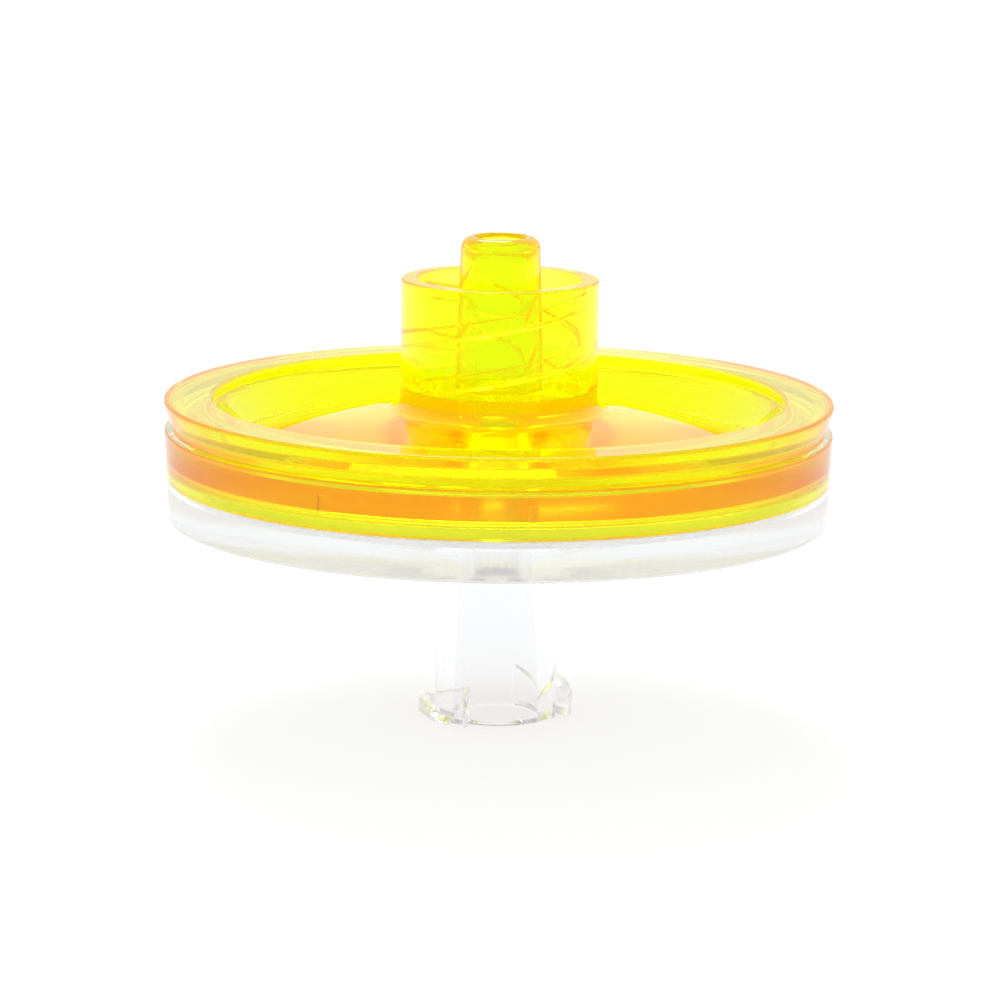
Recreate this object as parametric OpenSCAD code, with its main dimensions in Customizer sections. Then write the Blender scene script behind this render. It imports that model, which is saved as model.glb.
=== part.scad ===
// In-line syringe filter. A tinted upper housing with a male Luer lock is welded into a
// clear lower housing with a female Luer port, and a filter membrane is clamped between them.
// Millimetres, +Z up. The origin is on the axis, at the end face of the female port.

/* [Luer cones] */
// Taper of both cones: growth in diameter for each millimetre of length
luer_taper = 0.06; // [0.05:0.005:0.07]
// Rise of the lock's thread in one turn, which the lugs of the port follow
lock_lead = 5.08; // [4:0.02:6]

/* [Male Luer lock] */
// Outside diameter of the male cone at its free end
tip_d = 3.96; // [3.9:0.01:4.1]
// Length of the male cone above the floor of the lock collar
tip_len = 7.6; // [6:0.1:9]
// Diameter of the flow passage through the male cone
tip_bore_d = 2.6; // [1.6:0.1:2.8]
// Rounding of the male cone's end edge
tip_edge_r = 0.55; // [0.1:0.05:0.6]
// Outside diameter of the lock collar
collar_d = 9.9; // [9.4:0.1:12]
// Inside diameter of the lock collar
collar_bore_d = 8.2; // [8:0.05:8.6]
// Depth of the lock collar's inside
collar_depth = 5.5; // [4:0.1:6]
// Fillet where the collar grows out of the dome
collar_root_r = 0.75; // [0.2:0.05:1.2]
// Height of the lock's inner floor above the top of the rim
collar_floor_rise = 0.5; // [0.2:0.1:2]

/* [Upper housing] */
// How far the rim stands out past the cup's top edge, before either edge is rounded
rim_overhang = 0.08; // [0:0.02:1]
// Width of the rim's flat top
rim_flat_w = 2.5; // [1.5:0.1:4]
// Height of the lip under the rim
lip_h = 1.03; // [0.6:0.01:2]
// How far the lip leans in at its lower edge
lip_lean = 0.3; // [0:0.05:0.4]
// Height of the groove between the lip and the lower housing
groove_h = 0.52; // [0.3:0.02:1.2]
// Depth of the groove behind the lip's lower edge
groove_depth = 0.15; // [0.05:0.05:0.3]
// Depth of the dish below the rim, at the foot of its wall
dish_depth = 2.3; // [1.5:0.1:2.6]
// How far the dish wall leans in between the ledge and its foot
dish_lean = 0.9; // [0.2:0.1:2]
// Depth of the narrow ledge below the rim
ledge_depth = 0.6; // [0.3:0.1:1.2]
// Width of the narrow ledge
ledge_w = 0.15; // [0.05:0.05:0.4]
// Radius of the domed floor of the dish
dome_r = 46; // [35:1:90]
// Height of the flow chamber between the membrane and the upper housing
chamber_h = 0.8; // [0.4:0.1:1]
// Width of the ring that clamps the edge of the membrane
clamp_w = 0.95; // [0.5:0.05:2]

/* [Membrane] */
// Thickness of the membrane
membrane_t = 0.15; // [0.1:0.05:0.4]
// Margin between the edge of the membrane and the wall around it
membrane_margin = 0.3; // [0.1:0.1:0.6]

/* [Lower housing] */
// Outside diameter of the cup at its top edge
cup_d = 33.5; // [30:0.1:40]
// Reduction of the cup's outside radius from its top edge to its bottom
cup_draft = 0.18; // [0:0.01:0.4]
// Wall of the cup around the upper housing
cup_wall = 0.92; // [0.6:0.02:1.6]
// Height of the cup's rim above the floor that carries the membrane
cup_depth = 2.7; // [2:0.1:5]
// Thickness of the cup's floor, to the tops of its ribs
floor_t = 1.79; // [1.2:0.01:3]
// Rounding of the cup's bottom edge
cup_edge_r = 0.15; // [0.1:0.05:0.8]
// Gap all round between the cup's wall and the upper housing, which the weld fills
weld_gap = 0.03; // [0.01:0.01:0.1]

/* [Female Luer port] */
// Length of the port below the cup
port_len = 10.26; // [8:0.01:14]
// Outside diameter of the port at its end
port_d = 6.16; // [5.8:0.02:6.7]
// Growth of the port's outside diameter from its end to the cup
port_draft = 0.12; // [0:0.02:0.3]
// Diameter of the socket at its mouth
socket_d = 4.28; // [4.25:0.01:4.31]
// Length of the tapered socket
socket_len = 8.5; // [7:0.1:9]
// Diameter of the flow passage from the socket up through the cup's floor
passage_d = 2.3; // [1.6:0.1:3]
// Width across the two lugs
lug_d = 7.83; // [7.2:0.01:7.83]
// Height of a lug at the middle of its length
lug_h = 1.42; // [1:0.02:1.6]
// Angle that each lug covers
lug_span = 85; // [40:5:100]
// Angle from +X to the middle of the first lug
lug_angle = 22.5; // [0:2.5:180]

/* [Membrane supports] */
// Number of radial ribs on the cup's floor
rib_count = 16; // [8:1:24]
// Width of each rib
rib_w = 0.5; // [0.3:0.05:0.7]
// Height of the ribs, which is the depth of the flow chamber under the membrane
rib_h = 0.3; // [0.2:0.05:0.6]
// Distance from the axis to the inner ends of the ribs
rib_start_r = 2.5; // [2.2:0.1:5]
// Gap between the ribs' outer ends and the wall of the flow chamber
rib_end_gap = 0.65; // [0.2:0.05:2]

/* [Weld vents] */
// Angles from +X of the vent notches in the upper housing's weld wall
vent_angles = [239, 276]; // [0:1:360]
// Width of a vent notch
vent_w = 0.45; // [0.2:0.05:0.8]
// Depth of a vent notch
vent_depth = 0.3; // [0.1:0.05:0.5]

/* [Hidden] */
$fn = 128;

// Flat left at the end of the male cone, between its rounded edges
tip_flat_w = 0.01;
// Small moulded edge radii
fine_edge_r = 0.12;
rim_outer_edge_r = 0.15;
rim_inner_edge_r = 0.2;
port_root_r = 0.7;
socket_chamfer = 0.15;
lug_chamfer = 0.2;
// Number of straight steps in a rounded corner, and in the domed floor
corner_steps = 5;
dome_steps = 12;
// Height of a vent notch, as a share of the weld wall above the flow chamber
vent_share = 0.5;
// How far a cutting shape runs past the face it cuts, and a joined one into its neighbour
over = 0.5;

// Heights of the stack, from the port's end face up
cup_bottom_z = port_len;
land_z = cup_bottom_z + floor_t;
floor_z = land_z - rib_h;
cup_rim_z = land_z + cup_depth;
clamp_z = land_z + membrane_t;
ceiling_z = clamp_z + chamber_h;
lip_z = cup_rim_z + groove_h;
rim_z = lip_z + lip_h;
dish_z = rim_z - dish_depth;
collar_floor_z = rim_z + collar_floor_rise;
collar_top_z = collar_floor_z + collar_depth;
tip_z = collar_floor_z + tip_len;

// Radii
rim_r = cup_d / 2 + rim_overhang;
cup_bore_r = cup_d / 2 - cup_wall;
weld_r = cup_bore_r - weld_gap;
chamber_r = weld_r - clamp_w;
lip_r = rim_r - lip_lean;
groove_r = lip_r - groove_depth;
rim_in_r = rim_r - rim_flat_w;
ledge_r = rim_in_r - ledge_w;
dish_r = ledge_r - dish_lean;
port_r = port_d / 2;
port_root_outer_r = port_r + port_draft / 2;
socket_end_r = (socket_d - luer_taper * socket_len) / 2;
tip_bore_r = tip_bore_d / 2;
tip_round_r = min(tip_edge_r, tip_d / 2 - tip_bore_r - fine_edge_r - tip_flat_w);
tip_root_r = (tip_d + luer_taper * tip_len) / 2;
collar_r = collar_d / 2;
membrane_r = weld_r - membrane_margin;

// Height of the domed floor of the dish at a distance r from the axis
function dome_z(r) = dish_z + sqrt(dome_r ^ 2 - r ^ 2) - sqrt(dome_r ^ 2 - dish_r ^ 2);
// Points along the dome, from the foot of the dish wall in to the fillet at the collar
dome_points = [
    for (i = [0 : dome_steps])
        let (r = dish_r + (collar_r + 2 * collar_root_r - dish_r) * i / dome_steps)
        [r, dome_z(r), 0]
];

function unit(v) = v / norm(v);

// The points that replace corner b, between a and c, with an arc of radius r
function corner_arc(a, b, c, r) =
    let (
        u = unit(a - b),
        v = unit(c - b),
        half = acos(u * v) / 2,
        back = r / tan(half),
        centre = b + unit(u + v) * r / sin(half),
        start = b + u * back - centre,
        end = b + v * back - centre,
        turn = atan2(start.x * end.y - start.y * end.x, start * end)
    )
    [for (i = [0 : corner_steps])
        let (t = turn * i / corner_steps)
        centre + [start.x * cos(t) - start.y * sin(t), start.x * sin(t) + start.y * cos(t)]];

// A closed outline from [radius, height, corner radius] entries
function rounded(p) =
    let (n = len(p))
    [for (i = [0 : n - 1])
        let (
            a = p[(i + n - 1) % n],
            b = p[i],
            c = p[(i + 1) % n],
            arc = b[2] > 0
                ? corner_arc([a.x, a.y], [b.x, b.y], [c.x, c.y], b[2])
                : [[b.x, b.y]]
        )
        each arc];

module turned(outline) {
    rotate_extrude() polygon(rounded(outline));
}

// Radial ribs that carry the membrane, level with the land that clamps its edge
module support_ribs() {
    rib_end_r = chamber_r - rib_end_gap;
    for (i = [0 : rib_count - 1])
        rotate([0, 0, (i + 0.5) * 360 / rib_count])
            translate([rib_start_r, -rib_w / 2, floor_z - over])
                cube([rib_end_r - rib_start_r, rib_w, rib_h + over]);
}

// One lug of the female port: a sector whose upper face slopes with the thread it engages
module lug() {
    slope = atan(lock_lead / (PI * (port_d + lug_d) / 2));
    root_r = port_r - over;
    block = 2 * lug_d;
    intersection() {
        rotate([0, 0, -lug_span / 2])
            rotate_extrude(angle = lug_span)
                polygon([
                    [root_r, 0],
                    [lug_d / 2 - lug_chamfer, 0],
                    [lug_d / 2, lug_chamfer],
                    [lug_d / 2, 2 * lug_h],
                    [root_r, 2 * lug_h]
                ]);
        translate([0, 0, lug_h])
            rotate([slope, 0, 0])
                translate([0, -block / 2, -block]) cube(block);
    }
}

module lower_housing() {
    color([0.93, 0.95, 0.96, 0.45])
    union() {
        turned([
            [socket_d / 2, socket_chamfer, 0],
            [socket_d / 2 + socket_chamfer, 0, 0],
            [port_r, 0, fine_edge_r],
            [port_root_outer_r, cup_bottom_z, port_root_r],
            [cup_d / 2 - cup_draft, cup_bottom_z, cup_edge_r],
            [cup_d / 2, cup_rim_z, fine_edge_r],
            [cup_bore_r, cup_rim_z, 0],
            [cup_bore_r, land_z, 0],
            [chamber_r, land_z, 0],
            [chamber_r, floor_z, 0],
            [passage_d / 2, floor_z, 0],
            [passage_d / 2, socket_len, 0],
            [socket_end_r, socket_len, 0]
        ]);
        support_ribs();
        for (side = [0, 180])
            rotate([0, 0, lug_angle + side]) lug();
    }
}

module membrane() {
    color([0.97, 0.97, 0.95])
    translate([0, 0, land_z]) cylinder(r = membrane_r, h = membrane_t);
}

// Notch in the weld wall that lets air out while the housings are joined
module vent(angle) {
    rotate([0, 0, angle])
        translate([weld_r - vent_depth, -vent_w / 2, ceiling_z])
            cube([vent_depth + over, vent_w, (cup_rim_z - ceiling_z) * vent_share]);
}

module upper_housing() {
    color([0.98, 0.85, 0.05, 0.8])
    difference() {
        turned(concat(
            [
                [tip_bore_r, ceiling_z, 0],
                [chamber_r, ceiling_z, 0],
                [chamber_r, clamp_z, 0],
                [weld_r, clamp_z, 0],
                [weld_r, cup_rim_z, 0],
                [groove_r, cup_rim_z, 0],
                [groove_r, lip_z, 0],
                [lip_r, lip_z, fine_edge_r],
                [rim_r, rim_z, rim_outer_edge_r],
                [rim_in_r, rim_z, rim_inner_edge_r],
                [rim_in_r, rim_z - ledge_depth, 0],
                [ledge_r, rim_z - ledge_depth, 0]
            ],
            dome_points,
            [
                [collar_r, dome_z(collar_r), collar_root_r],
                [collar_r, collar_top_z, fine_edge_r],
                [collar_bore_d / 2, collar_top_z, fine_edge_r],
                [collar_bore_d / 2, collar_floor_z, 0],
                [tip_root_r, collar_floor_z, 0],
                [tip_d / 2, tip_z, tip_round_r],
                [tip_bore_r, tip_z, fine_edge_r]
            ]
        ));
        for (angle = vent_angles)
            vent(angle);
    }
}

lower_housing();
membrane();
upper_housing();
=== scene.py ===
import math

import bmesh
import bpy
from mathutils import Euler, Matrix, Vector


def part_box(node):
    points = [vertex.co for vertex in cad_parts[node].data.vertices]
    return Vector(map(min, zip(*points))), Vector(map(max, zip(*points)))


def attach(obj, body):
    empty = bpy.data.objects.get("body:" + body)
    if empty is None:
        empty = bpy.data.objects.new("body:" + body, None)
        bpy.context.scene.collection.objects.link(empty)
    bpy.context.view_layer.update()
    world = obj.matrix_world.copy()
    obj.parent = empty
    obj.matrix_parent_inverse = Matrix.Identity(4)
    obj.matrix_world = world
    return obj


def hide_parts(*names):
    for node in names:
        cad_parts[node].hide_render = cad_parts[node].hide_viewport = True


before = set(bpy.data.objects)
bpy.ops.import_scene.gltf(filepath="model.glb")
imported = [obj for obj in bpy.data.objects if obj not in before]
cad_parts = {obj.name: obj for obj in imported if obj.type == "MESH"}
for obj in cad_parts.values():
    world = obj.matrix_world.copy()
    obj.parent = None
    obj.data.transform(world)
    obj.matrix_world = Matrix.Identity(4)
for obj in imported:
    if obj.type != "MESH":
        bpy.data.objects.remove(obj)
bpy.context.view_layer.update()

MM = 0.001
# Points that agree to this many digits of a millimetre are one
DIGITS = 4


def height(corner):
    """Height of a CAD corner, in millimetres."""
    return round(corner.z / MM, DIGITS)


# Sizes along the axis
BASE_T = 1.79
CHAMBER_H = 0.8
GROOVE_H = 0.52
LIP_H = 1.03
DISH_DEPTH = 2.3
COLLAR_FLOOR_RISE = 0.5
COLLAR_DEPTH = 5.5

# Heights of the stack
PORT_END_Z = height(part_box("lower_housing")[0])
CUP_RIM_Z = height(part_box("lower_housing")[1])
LAND_Z, CLAMP_Z = (height(corner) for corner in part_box("membrane"))
TIP_Z = height(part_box("upper_housing")[1])
CUP_BOTTOM_Z = LAND_Z - BASE_T
CEILING_Z = CLAMP_Z + CHAMBER_H
LIP_Z = CUP_RIM_Z + GROOVE_H
RIM_Z = LIP_Z + LIP_H
DISH_Z = RIM_Z - DISH_DEPTH
COLLAR_FLOOR_Z = RIM_Z + COLLAR_FLOOR_RISE
COLLAR_TOP_Z = COLLAR_FLOOR_Z + COLLAR_DEPTH

# Lower housing, with the female port, its socket and its lugs
CUP_R = 16.75
CUP_DRAFT = 0.18
CUP_BORE_R = 15.83
PORT_R = 3.08
PORT_DRAFT = 0.06
SOCKET_R = 2.14
SOCKET_END_R = 1.885
SOCKET_LEN = 8.5
PASSAGE_R = 1.15
SOCKET_CHAMFER = 0.15
LUG_R = 3.915
LUG_H = 1.42
LUG_SPAN = 85
LUG_ANGLE = 22.5
LUG_CHAMFER = 0.2

# Upper housing
WELD_R = 15.80
CHAMBER_R = 14.85
RIM_R = 16.83
LIP_R = 16.53
GROOVE_R = 16.38
RIM_IN_R = 14.33
LEDGE_R = 14.18
LEDGE_DEPTH = 0.6
DISH_R = 13.28
DOME_R = 46
COLLAR_R = 4.95
COLLAR_BORE_R = 4.1
COLLAR_ROOT_R = 0.75
TIP_R = 1.98
TIP_ROOT_R = 2.208
TIP_BORE_R = 1.3

# Membrane, the radius of its flat middle, its clearance above and below, and the ribs that carry it
MEMBRANE_R = 15.5
MEMBRANE_MIDDLE_R = 1
MEMBRANE_SLACK = 0.01
RIBS = 16
RIB_W = 0.5
RIB_H = 0.3
RIB_START_R = 2.5
RIB_END_R = 14.2

# Weld vents: where they are, how wide, deep and high
VENT_ANGLES = (239, 276)
VENT_W = 0.45
VENT_DEPTH = 0.15
VENT_H = 0.875

# Lock thread: two starts, so a ridge every half lead. Its flanks go from crest to root in steps,
# and the plain wall beyond has rows of points at these distances. It fades out over the collar's
# floor and some way below the collar's top.
LEAD = 5.08
RIDGE_SPACING = LEAD / 2
RIDGE_H = 0.55
RIDGE_FRONT_Z = 20.5
RIDGE_FRONT_ANGLE = 270
RIDGE_ROOT_HALF = 0.46
RIDGE_CREST_HALF = 0.27
THREAD_TOP_GAP = 0.65
THREAD_FLOOR_FADE = 0.3
THREAD_TOP_FADE = 0.25
FLANK_STEPS = 6
PLAIN_ROWS = (0.66, 0.95)

# Radii of the moulded edges and fillets
EDGE_R = 0.12
CUP_EDGE_R = 0.15
PORT_ROOT_R = 0.7
CEILING_EDGE_R = 0.45
GROOVE_EDGE_R = 0.06
LIP_EDGE_R = 0.08
RIM_EDGE_R = 0.15
RIM_INNER_EDGE_R = 0.2
LEDGE_EDGE_R = 0.05
TIP_EDGE_R = 0.55
TIP_ROOT_EDGE_R = 0.1
MEMBRANE_EDGE_R = 0.03

# Hairs that keep the upper housing's flange off the cup's rim, and the thread off the collar's edge
FLANGE_GAP = 0.012
THREAD_HAIR = 0.001

# How matt some faces are, from 0 for polished to 1 for the full matt roughness. An edge finish goes
# on roundings smaller than SMALL_EDGE_R.
SMALL_EDGE_R = 0.3
VENT_FINISH = 0.7
CEILING_FINISH = 0.3
EDGE_FINISH = 0.6
MATTE_ROUGHNESS = 0.35

# Where the port's end with the lugs meets the rest of the lower housing
PORT_FOOT_R = 2.6
PORT_FOOT_TOP_Z = 2.3

# Points stand in even columns, apart from the ribs' own, some of which are across each rib and the
# rest between ribs
ACROSS = 6
BETWEEN = 12
SECTOR = 360 / RIBS
UPPER_COLUMNS = 360

# Degrees from point to point of a rounding, the fewest steps of one, and the steps of the dome
ARC_STEP = 12
FEWEST_ARC_STEPS = 3
DOME_STEPS = 20

# Degrees between two faces past which their edge is shaded sharp
SHARP_ANGLE = 32

# Plastics: how far they bend light, the colour of a faint painted glow that lifts their red though
# they are no lamp, and the ripples on their faces, whose depth is in metres
PLASTIC_IOR = 1.54
PAINTED_GLOW_TINT = (1.0, 0.5, 0.0)
RIPPLE_SCALE = 260.0
RIPPLE_DETAIL = 2.0
RIPPLE_STRENGTH = 0.12
RIPPLE_DEPTH = 0.00005

# Membrane: its two tones, its finish, a painted white glow that brightens it though it is no lamp,
# and the grain of its pores, whose depth is in metres
SHEET_TONES = ((0.94, 0.94, 0.93), (0.98, 0.98, 0.97))
SHEET_ROUGHNESS = 0.9
SHEET_SPECULAR = 0.2
SHEET_PAINTED_GLOW = 0.22
GRAIN_SCALE = 3000.0
GRAIN_DETAIL = 4.0
GRAIN_STRENGTH = 0.3
GRAIN_DEPTH = 0.00002

# Table, in metres: half its width, a hair's drop under the part, and its two shares of light
TABLE_HALF = 2.0
TABLE_Z = -0.00002
TABLE_TINT = (0.18, 0.22, 0.26)
TABLE_GLOW = (0.83, 0.8, 0.755)

# Room: its tones, and where one goes over into the next, as the share of a direction that points
# ahead of the viewer or up
WHITE = (1.0, 1.0, 1.0)
SIDE_TONE = (0.95, 0.92, 0.88)
AHEAD_TONE = (1.0, 0.99, 0.86)
SIDE_FROM = (-0.6, -0.4)
AHEAD_FROM = (0.68, 0.82)
CEILING_FROM = (0.2, 0.3)

# Lamp, in metres and watts
LAMP_PLACE = (-0.07, 0.45, 0.56)
LAMP_TARGET = (0, 0, 0.01)
LAMP_SIZE = 0.3
LAMP_POWER = 2.3

# Camera, in metres, millimetres of lens and degrees
CAMERA_PLACE = (0.0, -0.2221, 0.05497)
CAMERA_PITCH = 90 - 11.197
CAMERA_YAW = -0.028
CAMERA_ROLL = 0.662
SENSOR_W = 36.0
LENS = 161.7
CLIP = (0.01, 20.0)

# How many times light may bounce inside the clear plastics
BOUNCES = 48


# ---------------------------------------------------------------- columns and rings of points
def even_columns(count, start=0.0):
    """The angles of evenly spread columns."""
    return [start + 360 * j / count for j in range(count)]


def lower_columns():
    """The lower housing's columns, as many as the ribs' own and in step with them."""
    count = RIBS * (ACROSS + BETWEEN)
    return even_columns(count, SECTOR / 2 - ACROSS / 2 * 360 / count)


def rib_columns(r):
    """The columns of the ribs at radius r, from the first rib's edge round."""
    half = math.degrees(math.asin(RIB_W / 2 / r))
    angles = []
    for rib in range(RIBS):
        middle = (rib + 0.5) * SECTOR
        angles += [middle + half * (2 * k / ACROSS - 1) for k in range(ACROSS)]
        angles += [middle + half + (SECTOR - 2 * half) * k / BETWEEN for k in range(BETWEEN)]
    return angles


def upper_columns():
    """The upper housing's columns, with the nearest ones moved to the edges of the vents."""
    angles = even_columns(UPPER_COLUMNS)
    reach = math.degrees(VENT_W / 2 / WELD_R)
    for vent in VENT_ANGLES:
        for edge in (vent - reach, vent + reach):
            angles[round(edge * UPPER_COLUMNS / 360)] = edge
    return angles


def polar(r, angle, z):
    """A point from its radius, its angle in degrees and its height."""
    turn = math.radians(angle)
    return (r * math.cos(turn), r * math.sin(turn), z)


def rounded(outline):
    """(radius, height) points of an open outline of (radius, height, corner radius) entries."""
    return [point for point, _ in rounded_steps(outline)]


def rounded_steps(outline):
    """The points of an open outline, each with True where a small rounding goes on to the next."""
    steps = [(outline[0][:2], False)]
    for before, here, after in zip(outline, outline[1:], outline[2:]):
        if here[2]:
            arc = corner_arc(Vector(before[:2]), Vector(here[:2]), Vector(after[:2]), here[2])
            steps += [(point, here[2] < SMALL_EDGE_R) for point in arc[:-1]]
            steps.append((arc[-1], False))
        else:
            steps.append((here[:2], False))
    steps.append((outline[-1][:2], False))
    return steps


def corner_arc(before, here, after, radius):
    """Points of the arc that rounds a corner."""
    to_before = (before - here).normalized()
    to_after = (after - here).normalized()
    half = to_before.angle(to_after) / 2
    centre = here + (to_before + to_after).normalized() * radius / math.sin(half)
    start = here + to_before * radius / math.tan(half) - centre
    turn = start.angle_signed(here + to_after * radius / math.tan(half) - centre)
    steps = max(FEWEST_ARC_STEPS, math.ceil(abs(math.degrees(turn)) / ARC_STEP))
    points = []
    for k in range(steps + 1):
        t = -turn * k / steps
        x = start.x * math.cos(t) - start.y * math.sin(t)
        y = start.x * math.sin(t) + start.y * math.cos(t)
        points.append((centre.x + x, centre.y + y))
    return points


# ---------------------------------------------------------------- mesh builder
class Shell:
    """Collects faces in millimetres, welds the corners that meet, and makes one piece of them."""

    def __init__(self, columns):
        self.columns = columns
        self.mesh = bmesh.new()
        self.corners = {}
        self.fused = self.mesh.faces.layers.float.new("fused")
        self.matte = self.mesh.faces.layers.float.new("matte")
        self.finish = 0.0

    def ring(self, r, z):
        """One ring of points."""
        return [polar(r, angle, z) for angle in self.columns]

    def corner(self, point):
        """The mesh's corner at a point, which is made when it is first asked for."""
        key = tuple(round(c, DIGITS) + 0.0 for c in point)
        if key not in self.corners:
            self.corners[key] = self.mesh.verts.new([c * MM for c in point])
        return self.corners[key]

    def face(self, points, fused=0.0):
        """A face with the shell's present finish, unless its corners meet in a line or a point."""
        corners = list(dict.fromkeys(self.corner(p) for p in points))
        if len(corners) > 2:
            face = self.mesh.faces.new(corners)
            face.smooth = True
            face[self.fused] = fused
            face[self.matte] = self.finish

    def band(self, rows, fused=0.0):
        """Faces between rings that follow each other."""
        for a, b in zip(rows, rows[1:]):
            for j in range(len(a)):
                k = (j + 1) % len(a)
                self.face([a[j], a[k], b[k], b[j]], fused)

    def turned(self, outline, fused=0.0, edges=0.0):
        """The surface an outline sweeps round the axis. Edges is the finish of small roundings."""
        steps = rounded_steps(outline)
        flat = self.finish
        for ((r, z), on_edge), ((next_r, next_z), _) in zip(steps, steps[1:]):
            self.finish = edges if on_edge and edges else flat
            self.band([self.ring(r, z), self.ring(next_r, next_z)], fused)
        self.finish = flat

    def stepped(self, lines, level, place, fused=0.0, stepped_finish=0.0):
        """A surface of cells, each at its level, with risers where two neighbours differ.
        Cell i lies between lines i and i + 1. Levels -1 and lines - 1 lie beyond the edges."""
        count = len(self.columns)
        for j in range(count):
            k = (j + 1) % count
            for i in range(lines - 1):
                here, beside = level(i, j), level(i, k)
                cell = [place(i, j, here), place(i + 1, j, here),
                        place(i + 1, k, here), place(i, k, here)]
                on_base = here == level(-1, j)
                self.finish = 0.0 if on_base else stepped_finish
                self.face(cell, fused if on_base else 0.0)
                self.finish = stepped_finish
                if beside != here:
                    self.face([place(i, k, here), place(i + 1, k, here),
                               place(i + 1, k, beside), place(i, k, beside)])
            for i in range(lines):
                inner, outer = level(i - 1, j), level(i, j)
                if inner != outer:
                    self.face([place(i, j, inner), place(i, k, inner),
                               place(i, k, outer), place(i, j, outer)])
        self.finish = 0.0

    def piece(self, name, material, slot, *nodes):
        """The finished piece, riding on the part's body and standing for its CAD nodes."""
        bmesh.ops.recalc_face_normals(self.mesh, faces=self.mesh.faces)
        loose = [e for e in self.mesh.edges if len(e.link_faces) != 2]
        print(name, len(self.mesh.faces), "faces,", len(loose), "open edges")
        data = bpy.data.meshes.new(name)
        self.mesh.to_mesh(data)
        self.mesh.free()
        data.set_sharp_from_angle(angle=math.radians(SHARP_ANGLE))
        data.materials.append(material)
        piece = bpy.data.objects.new(name, data)
        bpy.context.scene.collection.objects.link(piece)
        even = piece.modifiers.new("even_normals", "WEIGHTED_NORMAL")
        even.keep_sharp = True
        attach(piece, "root")
        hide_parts(*nodes)


# ---------------------------------------------------------------- lower housing
def chamber_floor(shell, low_z, high_z):
    """The floor of the flow chamber, with the radial ribs that carry the membrane."""
    radii = [PASSAGE_R, RIB_START_R, RIB_END_R, CHAMBER_R]
    angles = [shell.columns, rib_columns(RIB_START_R), rib_columns(RIB_END_R), shell.columns]

    def level(i, j):
        return high_z if i == 1 and j % (ACROSS + BETWEEN) < ACROSS else low_z

    def place(i, j, z):
        return polar(radii[i], angles[i][j], z)

    shell.stepped(len(radii), level, place)


def lower_housing(material):
    """The clear cup and the female port with its lugs."""
    shell = Shell(lower_columns())
    floor_z = LAND_Z - RIB_H
    chamber_floor(shell, floor_z, LAND_Z)
    shell.turned([(CHAMBER_R, floor_z, 0), (CHAMBER_R, LAND_Z, 0), (CUP_BORE_R, LAND_Z, 0),
                  (CUP_BORE_R, CLAMP_Z, 0)])
    shell.turned([(CUP_BORE_R, CLAMP_Z, 0), (CUP_BORE_R, CUP_RIM_Z, 0)], fused=1.0)
    shell.turned([
        (CUP_BORE_R, CUP_RIM_Z, 0),
        (CUP_R, CUP_RIM_Z, EDGE_R),
        (CUP_R - CUP_DRAFT, CUP_BOTTOM_Z, CUP_EDGE_R),
        (PORT_R + PORT_DRAFT, CUP_BOTTOM_Z, PORT_ROOT_R),
        (port_r(PORT_FOOT_TOP_Z), PORT_FOOT_TOP_Z, 0),
    ], edges=EDGE_FINISH)
    port_foot(shell)
    shell.turned([
        (PORT_FOOT_R, PORT_END_Z, 0),
        (SOCKET_R + SOCKET_CHAMFER, PORT_END_Z, 0),
        (SOCKET_R, SOCKET_CHAMFER, 0),
        (SOCKET_END_R, SOCKET_LEN, 0),
        (PASSAGE_R, SOCKET_LEN, 0),
        (PASSAGE_R, floor_z, 0),
    ])
    shell.piece("lower_moulding", material, "clear_plastic", "lower_housing")


def port_r(z):
    """Outside radius of the port at a height."""
    return PORT_R + PORT_DRAFT * z / CUP_BOTTOM_Z


def lug_top(angle):
    """Height of the lugs' sloped tops at an angle, and elsewhere of a line from lug to lug."""
    half = LUG_SPAN / 2
    turn = (angle - LUG_ANGLE + 90) % 180 - 90
    if abs(turn) <= half:
        return LUG_H + LEAD * turn / 360
    high, low = LUG_H + LEAD * half / 360, LUG_H - LEAD * half / 360
    past_lug = turn - half if turn > 0 else turn + 180 - half
    return high + (low - high) * past_lug / (180 - LUG_SPAN)


def port_foot(shell):
    """The port's outer wall at its end, with the two lugs."""
    angles = list(shell.columns)
    count = len(angles)
    half = LUG_SPAN / 2
    for side in (0, 180):
        for turn in (-half, half):
            end = (LUG_ANGLE + side + turn) % 360
            nearest = min(range(count), key=lambda j: abs((angles[j] - end + 180) % 360 - 180))
            angles[nearest] = end

    def section(j, outline):
        middle = [polar(r, angles[j], z) for r, z in rounded(outline)[1:-1]]
        first = polar(PORT_FOOT_R, shell.columns[j], PORT_END_Z)
        last = polar(port_r(PORT_FOOT_TOP_Z), shell.columns[j], PORT_FOOT_TOP_Z)
        return [first, *middle, last]

    def bare(j):
        top = lug_top(angles[j])
        return section(j, [(PORT_FOOT_R, PORT_END_Z, 0), (PORT_R, PORT_END_Z, EDGE_R),
                           (port_r(top), top, 0), (port_r(PORT_FOOT_TOP_Z), PORT_FOOT_TOP_Z, 0)])

    def lug(j):
        top = lug_top(angles[j])
        return section(j, [(PORT_FOOT_R, PORT_END_Z, 0), (LUG_R - LUG_CHAMFER, PORT_END_Z, 0),
                           (LUG_R, LUG_CHAMFER, 0), (LUG_R, top, EDGE_R), (port_r(top), top, 0),
                           (port_r(PORT_FOOT_TOP_Z), PORT_FOOT_TOP_Z, 0)])

    def on_lug(j):
        middle = angles[j] + ((angles[(j + 1) % count] - angles[j]) % 360) / 2
        return abs((middle - LUG_ANGLE + 90) % 180 - 90) < half

    for j in range(count):
        k = (j + 1) % count
        profile = lug if on_lug(j) else bare
        a, b = profile(j), profile(k)
        for p, q, r, s in zip(a, a[1:], b[1:], b):
            shell.face([p, q, r, s])
        if on_lug(j) != on_lug(k):
            shell.face(lug(k)[:-1] + bare(k)[-2:0:-1])


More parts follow.
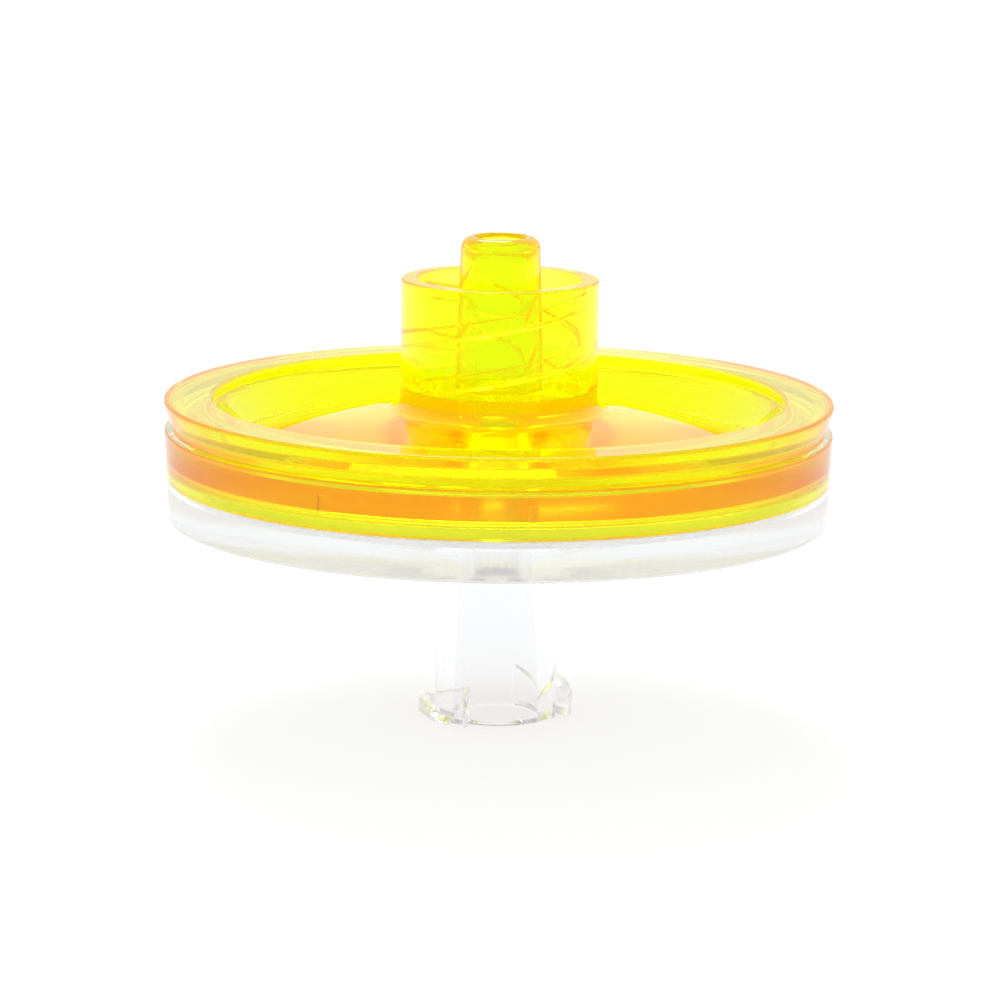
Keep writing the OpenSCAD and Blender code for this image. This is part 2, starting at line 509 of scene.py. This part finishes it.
# ---------------------------------------------------------------- upper housing
def dome_z(r):
    """Height of the dish's domed floor at radius r."""
    return DISH_Z + math.sqrt(DOME_R ** 2 - r ** 2) - math.sqrt(DOME_R ** 2 - DISH_R ** 2)


def weld_wall(shell):
    """The outer wall that is welded into the cup, with its vent notches."""
    heights = [CLAMP_Z, CEILING_Z, CEILING_Z + VENT_H, CUP_RIM_Z]
    angles = shell.columns

    def in_vent(j):
        middle = angles[j] + ((angles[(j + 1) % UPPER_COLUMNS] - angles[j]) % 360) / 2
        reach = math.degrees(VENT_W / 2 / WELD_R)
        return any(abs((middle - angle + 180) % 360 - 180) < reach for angle in VENT_ANGLES)

    def level(i, j):
        return WELD_R - VENT_DEPTH if i == 1 and in_vent(j) else WELD_R

    def place(i, j, r):
        return polar(r, angles[j], heights[i])

    shell.stepped(len(heights), level, place, fused=1.0, stepped_finish=VENT_FINISH)


def ridge(offset):
    """Height of the thread's ridge, from 0 to 1, at a distance along the axis from its middle."""
    share = (RIDGE_ROOT_HALF - abs(offset)) / (RIDGE_ROOT_HALF - RIDGE_CREST_HALF)
    share = min(max(share, 0), 1)
    return share * share * (3 - 2 * share)


def fade(z, crest_z, bottom, top):
    """How far the ridge stands out near the collar's floor and its top, from 0 to 1."""
    below_top = top - THREAD_TOP_GAP - crest_z
    share = min((z - bottom) / THREAD_FLOOR_FADE, below_top / THREAD_TOP_FADE)
    share = min(max(share, 0), 1)
    return share * share * (3 - 2 * share)


def lock_thread(shell, bottom, top):
    """The collar's inside wall with the two-start thread, in rows that climb with it."""
    flank_w = RIDGE_ROOT_HALF - RIDGE_CREST_HALF
    flank = [RIDGE_CREST_HALF + flank_w * k / FLANK_STEPS for k in range(FLANK_STEPS + 1)]
    flank += PLAIN_ROWS
    offsets = [-RIDGE_SPACING / 2] + [-f for f in reversed(flank)] + [0] + flank
    first = RIDGE_FRONT_Z - LEAD * RIDGE_FRONT_ANGLE / 360
    while first > bottom - LEAD - RIDGE_SPACING:
        first -= RIDGE_SPACING
    starts = math.ceil((top - first) / RIDGE_SPACING) + 2
    rows = [(first + n * RIDGE_SPACING, offset) for n in range(starts) for offset in offsets]
    angles = [*shell.columns, 360]

    def place(row, angle):
        start, offset = row
        crest_z = start + LEAD * angle / 360
        z = crest_z + offset
        r = COLLAR_BORE_R - RIDGE_H * ridge(offset) * fade(z, crest_z, bottom, top)
        return polar(r, angle, min(max(z, bottom), top))

    for a, b in zip(angles, angles[1:]):
        for low, high in zip(rows, rows[1:]):
            shell.face([place(low, a), place(low, b), place(high, b), place(high, a)])


def upper_housing(material):
    """The tinted rim, dish, lock collar and male cone."""
    shell = Shell(upper_columns())
    shell.finish = CEILING_FINISH
    shell.turned([
        (TIP_BORE_R, CEILING_Z, 0),
        (CHAMBER_R, CEILING_Z, CEILING_EDGE_R),
        (CHAMBER_R, CLAMP_Z, 0),
    ])
    shell.finish = 0.0
    shell.turned([(CHAMBER_R, CLAMP_Z, 0), (WELD_R, CLAMP_Z, 0)])
    weld_wall(shell)
    dome_start = COLLAR_R + 2 * COLLAR_ROOT_R
    dome = [DISH_R + (dome_start - DISH_R) * i / DOME_STEPS for i in range(1, DOME_STEPS + 1)]
    thread_top = COLLAR_TOP_Z - EDGE_R - THREAD_HAIR
    shell.turned([
        (WELD_R, CUP_RIM_Z, 0),
        (GROOVE_R, CUP_RIM_Z + FLANGE_GAP, 0),
        (GROOVE_R, LIP_Z, GROOVE_EDGE_R),
        (LIP_R, LIP_Z, LIP_EDGE_R),
        (RIM_R, RIM_Z, RIM_EDGE_R),
        (RIM_IN_R, RIM_Z, RIM_INNER_EDGE_R),
        (RIM_IN_R, RIM_Z - LEDGE_DEPTH, LEDGE_EDGE_R),
        (LEDGE_R, RIM_Z - LEDGE_DEPTH, LEDGE_EDGE_R),
        (DISH_R, DISH_Z, EDGE_R),
        *[(r, dome_z(r), 0) for r in dome],
        (COLLAR_R, dome_z(COLLAR_R), COLLAR_ROOT_R),
        (COLLAR_R, COLLAR_TOP_Z, EDGE_R),
        (COLLAR_BORE_R, COLLAR_TOP_Z, EDGE_R),
        (COLLAR_BORE_R, thread_top, 0),
    ], edges=EDGE_FINISH)
    lock_thread(shell, COLLAR_FLOOR_Z, thread_top)
    shell.turned([
        (COLLAR_BORE_R, COLLAR_FLOOR_Z, 0),
        (TIP_ROOT_R, COLLAR_FLOOR_Z, TIP_ROOT_EDGE_R),
        (TIP_R, TIP_Z, TIP_EDGE_R),
        (TIP_BORE_R, TIP_Z, EDGE_R),
        (TIP_BORE_R, CEILING_Z, 0),
    ])
    shell.piece("upper_moulding", material, "yellow_plastic", "upper_housing")


# ---------------------------------------------------------------- membrane
def membrane_disc(material):
    """The filter sheet, a hair clear of the plastic above and below it."""
    shell = Shell(even_columns(UPPER_COLUMNS))
    low, high = LAND_Z + MEMBRANE_SLACK, CLAMP_Z - MEMBRANE_SLACK
    outline = [(MEMBRANE_MIDDLE_R, low, 0), (MEMBRANE_R, low, MEMBRANE_EDGE_R),
               (MEMBRANE_R, high, MEMBRANE_EDGE_R), (MEMBRANE_MIDDLE_R, high, 0)]
    rows = [shell.ring(r, z) for r, z in rounded(outline)]
    shell.band(rows)
    for row in (rows[0], rows[-1]):
        shell.face(row)
    shell.piece("filter_sheet", material, "filter_membrane", "membrane")


# ---------------------------------------------------------------- materials
def node_material(name):
    """An empty node material, with its nodes and links."""
    material = bpy.data.materials.new(name)
    material.use_nodes = True
    material.node_tree.nodes.clear()
    return material, material.node_tree.nodes, material.node_tree.links


def noise_bump(nodes, links, scale, detail, strength, depth):
    """A noise in the piece's own coordinates, and a bump that follows it."""
    place = nodes.new("ShaderNodeTexCoord")
    noise = nodes.new("ShaderNodeTexNoise")
    noise.inputs["Scale"].default_value = scale
    noise.inputs["Detail"].default_value = detail
    links.new(place.outputs["Object"], noise.inputs["Vector"])
    bump = nodes.new("ShaderNodeBump")
    bump.inputs["Strength"].default_value = strength
    bump.inputs["Distance"].default_value = depth
    links.new(noise.outputs["Fac"], bump.inputs["Height"])
    return noise, bump


def face_value(nodes, links, attribute, low, high):
    """A value that goes from low to high as an attribute of the faces goes from 0 to 1."""
    read = nodes.new("ShaderNodeAttribute")
    read.attribute_name = attribute
    value = nodes.new("ShaderNodeMapRange")
    value.inputs["To Min"].default_value = low
    value.inputs["To Max"].default_value = high
    links.new(read.outputs["Fac"], value.inputs["Value"])
    return value.outputs["Result"]


def moulded_plastic(name, tint, gloss_tint, roughness, dye, density, glow):
    """Plastic with a dye that absorbs by depth and a painted glow. Where a face is fused it doesn't
    bend light.
    """
    material, nodes, links = node_material(name)
    surface = nodes.new("ShaderNodeBsdfPrincipled")
    surface.inputs["Base Color"].default_value = (*tint, 1)
    surface.inputs["Transmission Weight"].default_value = 1.0
    surface.inputs["Specular Tint"].default_value = (*gloss_tint, 1)
    # Painted glow: a faint orange emission that brightens the plastic, though it is no lamp
    surface.inputs["Emission Color"].default_value = (*PAINTED_GLOW_TINT, 1)
    surface.inputs["Emission Strength"].default_value = glow
    finish = face_value(nodes, links, "matte", roughness, MATTE_ROUGHNESS)
    links.new(finish, surface.inputs["Roughness"])
    index = face_value(nodes, links, "fused", PLASTIC_IOR, 1.0)
    links.new(index, surface.inputs["IOR"])
    _, bump = noise_bump(
        nodes, links, RIPPLE_SCALE, RIPPLE_DETAIL, RIPPLE_STRENGTH, RIPPLE_DEPTH)
    links.new(bump.outputs["Normal"], surface.inputs["Normal"])
    depth = nodes.new("ShaderNodeVolumeAbsorption")
    depth.inputs["Color"].default_value = (*dye, 1)
    depth.inputs["Density"].default_value = density
    out = nodes.new("ShaderNodeOutputMaterial")
    links.new(surface.outputs["BSDF"], out.inputs["Surface"])
    links.new(depth.outputs["Volume"], out.inputs["Volume"])
    material.cycles.emission_sampling = "NONE"
    return material


def filter_sheet(name):
    """Matt white microporous sheet, brightened by a painted white glow."""
    material, nodes, links = node_material(name)
    surface = nodes.new("ShaderNodeBsdfPrincipled")
    surface.inputs["Roughness"].default_value = SHEET_ROUGHNESS
    surface.inputs["Specular IOR Level"].default_value = SHEET_SPECULAR
    # Painted glow: a white emission that lifts the sheet's brightness, though it is no lamp
    surface.inputs["Emission Color"].default_value = (*WHITE, 1)
    surface.inputs["Emission Strength"].default_value = SHEET_PAINTED_GLOW
    grain, bump = noise_bump(
        nodes, links, GRAIN_SCALE, GRAIN_DETAIL, GRAIN_STRENGTH, GRAIN_DEPTH)
    tone = mixed(nodes, links, grain.outputs["Fac"], *SHEET_TONES)
    links.new(tone, surface.inputs["Base Color"])
    links.new(bump.outputs["Normal"], surface.inputs["Normal"])
    out = nodes.new("ShaderNodeOutputMaterial")
    links.new(surface.outputs["BSDF"], out.inputs["Surface"])
    return material


def mixed(nodes, links, factor, a, b):
    """A colour mix. Each of the two is a colour or a socket."""
    mix = nodes.new("ShaderNodeMix")
    mix.data_type = "RGBA"
    links.new(factor, mix.inputs["Factor"])
    for name, value in (("A", a), ("B", b)):
        socket = next(i for i in mix.inputs if i.name == name and i.type == "RGBA")
        if isinstance(value, tuple):
            socket.default_value = (*value, 1)
        else:
            links.new(value, socket)
    return next(o for o in mix.outputs if o.type == "RGBA")


# ---------------------------------------------------------------- studio
def seen_rays(nodes, links):
    """1 for rays that see the surroundings: straight, in a mirror or through glass."""
    path = nodes.new("ShaderNodeLightPath")
    seen = path.outputs["Is Camera Ray"]
    for kind in ("Is Glossy Ray", "Is Transmission Ray"):
        either = nodes.new("ShaderNodeMath")
        either.operation = "MAXIMUM"
        links.new(seen, either.inputs[0])
        links.new(path.outputs[kind], either.inputs[1])
        seen = either.outputs["Value"]
    return seen


def table():
    """A large pale table that looks white and keeps the object's shadow."""
    half, z = TABLE_HALF, TABLE_Z
    corners = [(-half, -half, z), (half, -half, z), (half, half, z), (-half, half, z)]
    data = bpy.data.meshes.new("table")
    data.from_pydata(corners, [], [(0, 1, 2, 3)])
    floor = bpy.data.objects.new("table", data)
    bpy.context.scene.collection.objects.link(floor)
    material, nodes, links = node_material("table_white")
    diffuse = nodes.new("ShaderNodeBsdfDiffuse")
    diffuse.inputs["Color"].default_value = (*TABLE_TINT, 1)
    glow = nodes.new("ShaderNodeEmission")
    glow.inputs["Color"].default_value = (*TABLE_GLOW, 1)
    links.new(seen_rays(nodes, links), glow.inputs["Strength"])
    both = nodes.new("ShaderNodeAddShader")
    links.new(diffuse.outputs["BSDF"], both.inputs[0])
    links.new(glow.outputs["Emission"], both.inputs[1])
    out = nodes.new("ShaderNodeOutputMaterial")
    links.new(both.outputs["Shader"], out.inputs["Surface"])
    material.cycles.emission_sampling = "NONE"
    data.materials.append(material)


def smooth_step(nodes, links, value, ends):
    """0 below the first of two ends, 1 above the other, and a smooth step between."""
    step = nodes.new("ShaderNodeMapRange")
    step.interpolation_type = "SMOOTHSTEP"
    step.inputs["From Min"].default_value, step.inputs["From Max"].default_value = ends
    links.new(value, step.inputs["Value"])
    return step.outputs["Result"]


def surroundings():
    """A white room with greyer sides and a cream wall ahead, which the camera itself sees white."""
    world = bpy.data.worlds.new("white_room")
    bpy.context.scene.world = world
    world.use_nodes = True
    nodes, links = world.node_tree.nodes, world.node_tree.links
    nodes.clear()
    path = nodes.new("ShaderNodeLightPath")
    place = nodes.new("ShaderNodeTexCoord")
    split = nodes.new("ShaderNodeSeparateXYZ")
    links.new(place.outputs["Generated"], split.inputs["Vector"])
    ahead, up = split.outputs["Y"], split.outputs["Z"]
    room = WHITE
    for value, ends, tone in ((ahead, SIDE_FROM, SIDE_TONE), (ahead, AHEAD_FROM, AHEAD_TONE),
                              (up, CEILING_FROM, WHITE)):
        room = mixed(nodes, links, smooth_step(nodes, links, value, ends), room, tone)
    room = mixed(nodes, links, path.outputs["Is Camera Ray"], room, WHITE)
    sky = nodes.new("ShaderNodeBackground")
    links.new(room, sky.inputs["Color"])
    out = nodes.new("ShaderNodeOutputWorld")
    links.new(sky.outputs["Background"], out.inputs["Surface"])


def softbox(name, place, target, size, power):
    """A round area lamp that faces its target."""
    data = bpy.data.lights.new(name, "AREA")
    data.shape = "DISK"
    data.size = size
    data.energy = power
    lamp = bpy.data.objects.new(name, data)
    lamp.location = place
    lamp.rotation_euler = (Vector(target) - Vector(place)).to_track_quat("-Z", "Y").to_euler()
    bpy.context.scene.collection.objects.link(lamp)


def camera():
    """The viewer: in front of the object, a little above it, and rolled a touch."""
    data = bpy.data.cameras.new("viewer")
    data.sensor_width = SENSOR_W
    data.lens = LENS
    data.clip_start, data.clip_end = CLIP
    viewer = bpy.data.objects.new("viewer", data)
    viewer.location = CAMERA_PLACE
    pitch, yaw, roll = map(math.radians, (CAMERA_PITCH, CAMERA_YAW, CAMERA_ROLL))
    turn = Euler((pitch, 0, yaw), "XYZ").to_matrix() @ Euler((0, 0, roll), "XYZ").to_matrix()
    viewer.rotation_euler = turn.to_euler()
    bpy.context.scene.collection.objects.link(viewer)
    bpy.context.scene.camera = viewer


def studio():
    """Table, room, lamp, camera, and the settings that the clear plastics need."""
    table()
    surroundings()
    softbox("overhead", LAMP_PLACE, LAMP_TARGET, LAMP_SIZE, LAMP_POWER)
    camera()
    scene = bpy.context.scene
    scene.view_settings.view_transform = "Standard"
    scene.cycles.max_bounces = BOUNCES
    scene.cycles.transmission_bounces = BOUNCES
    scene.cycles.glossy_bounces = BOUNCES


clear = moulded_plastic(
    "clear_plastic",
    tint=(0.96, 0.955, 0.96),
    gloss_tint=(0.4, 0.4, 0.4),
    roughness=0.07,
    dye=(0.9, 0.9, 0.9),
    density=30,
    glow=0.0,
)
yellow = moulded_plastic(
    "yellow_plastic",
    tint=(0.88, 1.0, 0.9),
    gloss_tint=(0.6, 0.55, 0.15),
    roughness=0.03,
    dye=(0.9998, 0.987, 0.0),
    density=2500,
    # a faint painted orange glow
    glow=0.035,
)
lower_housing(clear)
upper_housing(yellow)
membrane_disc(filter_sheet("filter_membrane"))
studio()
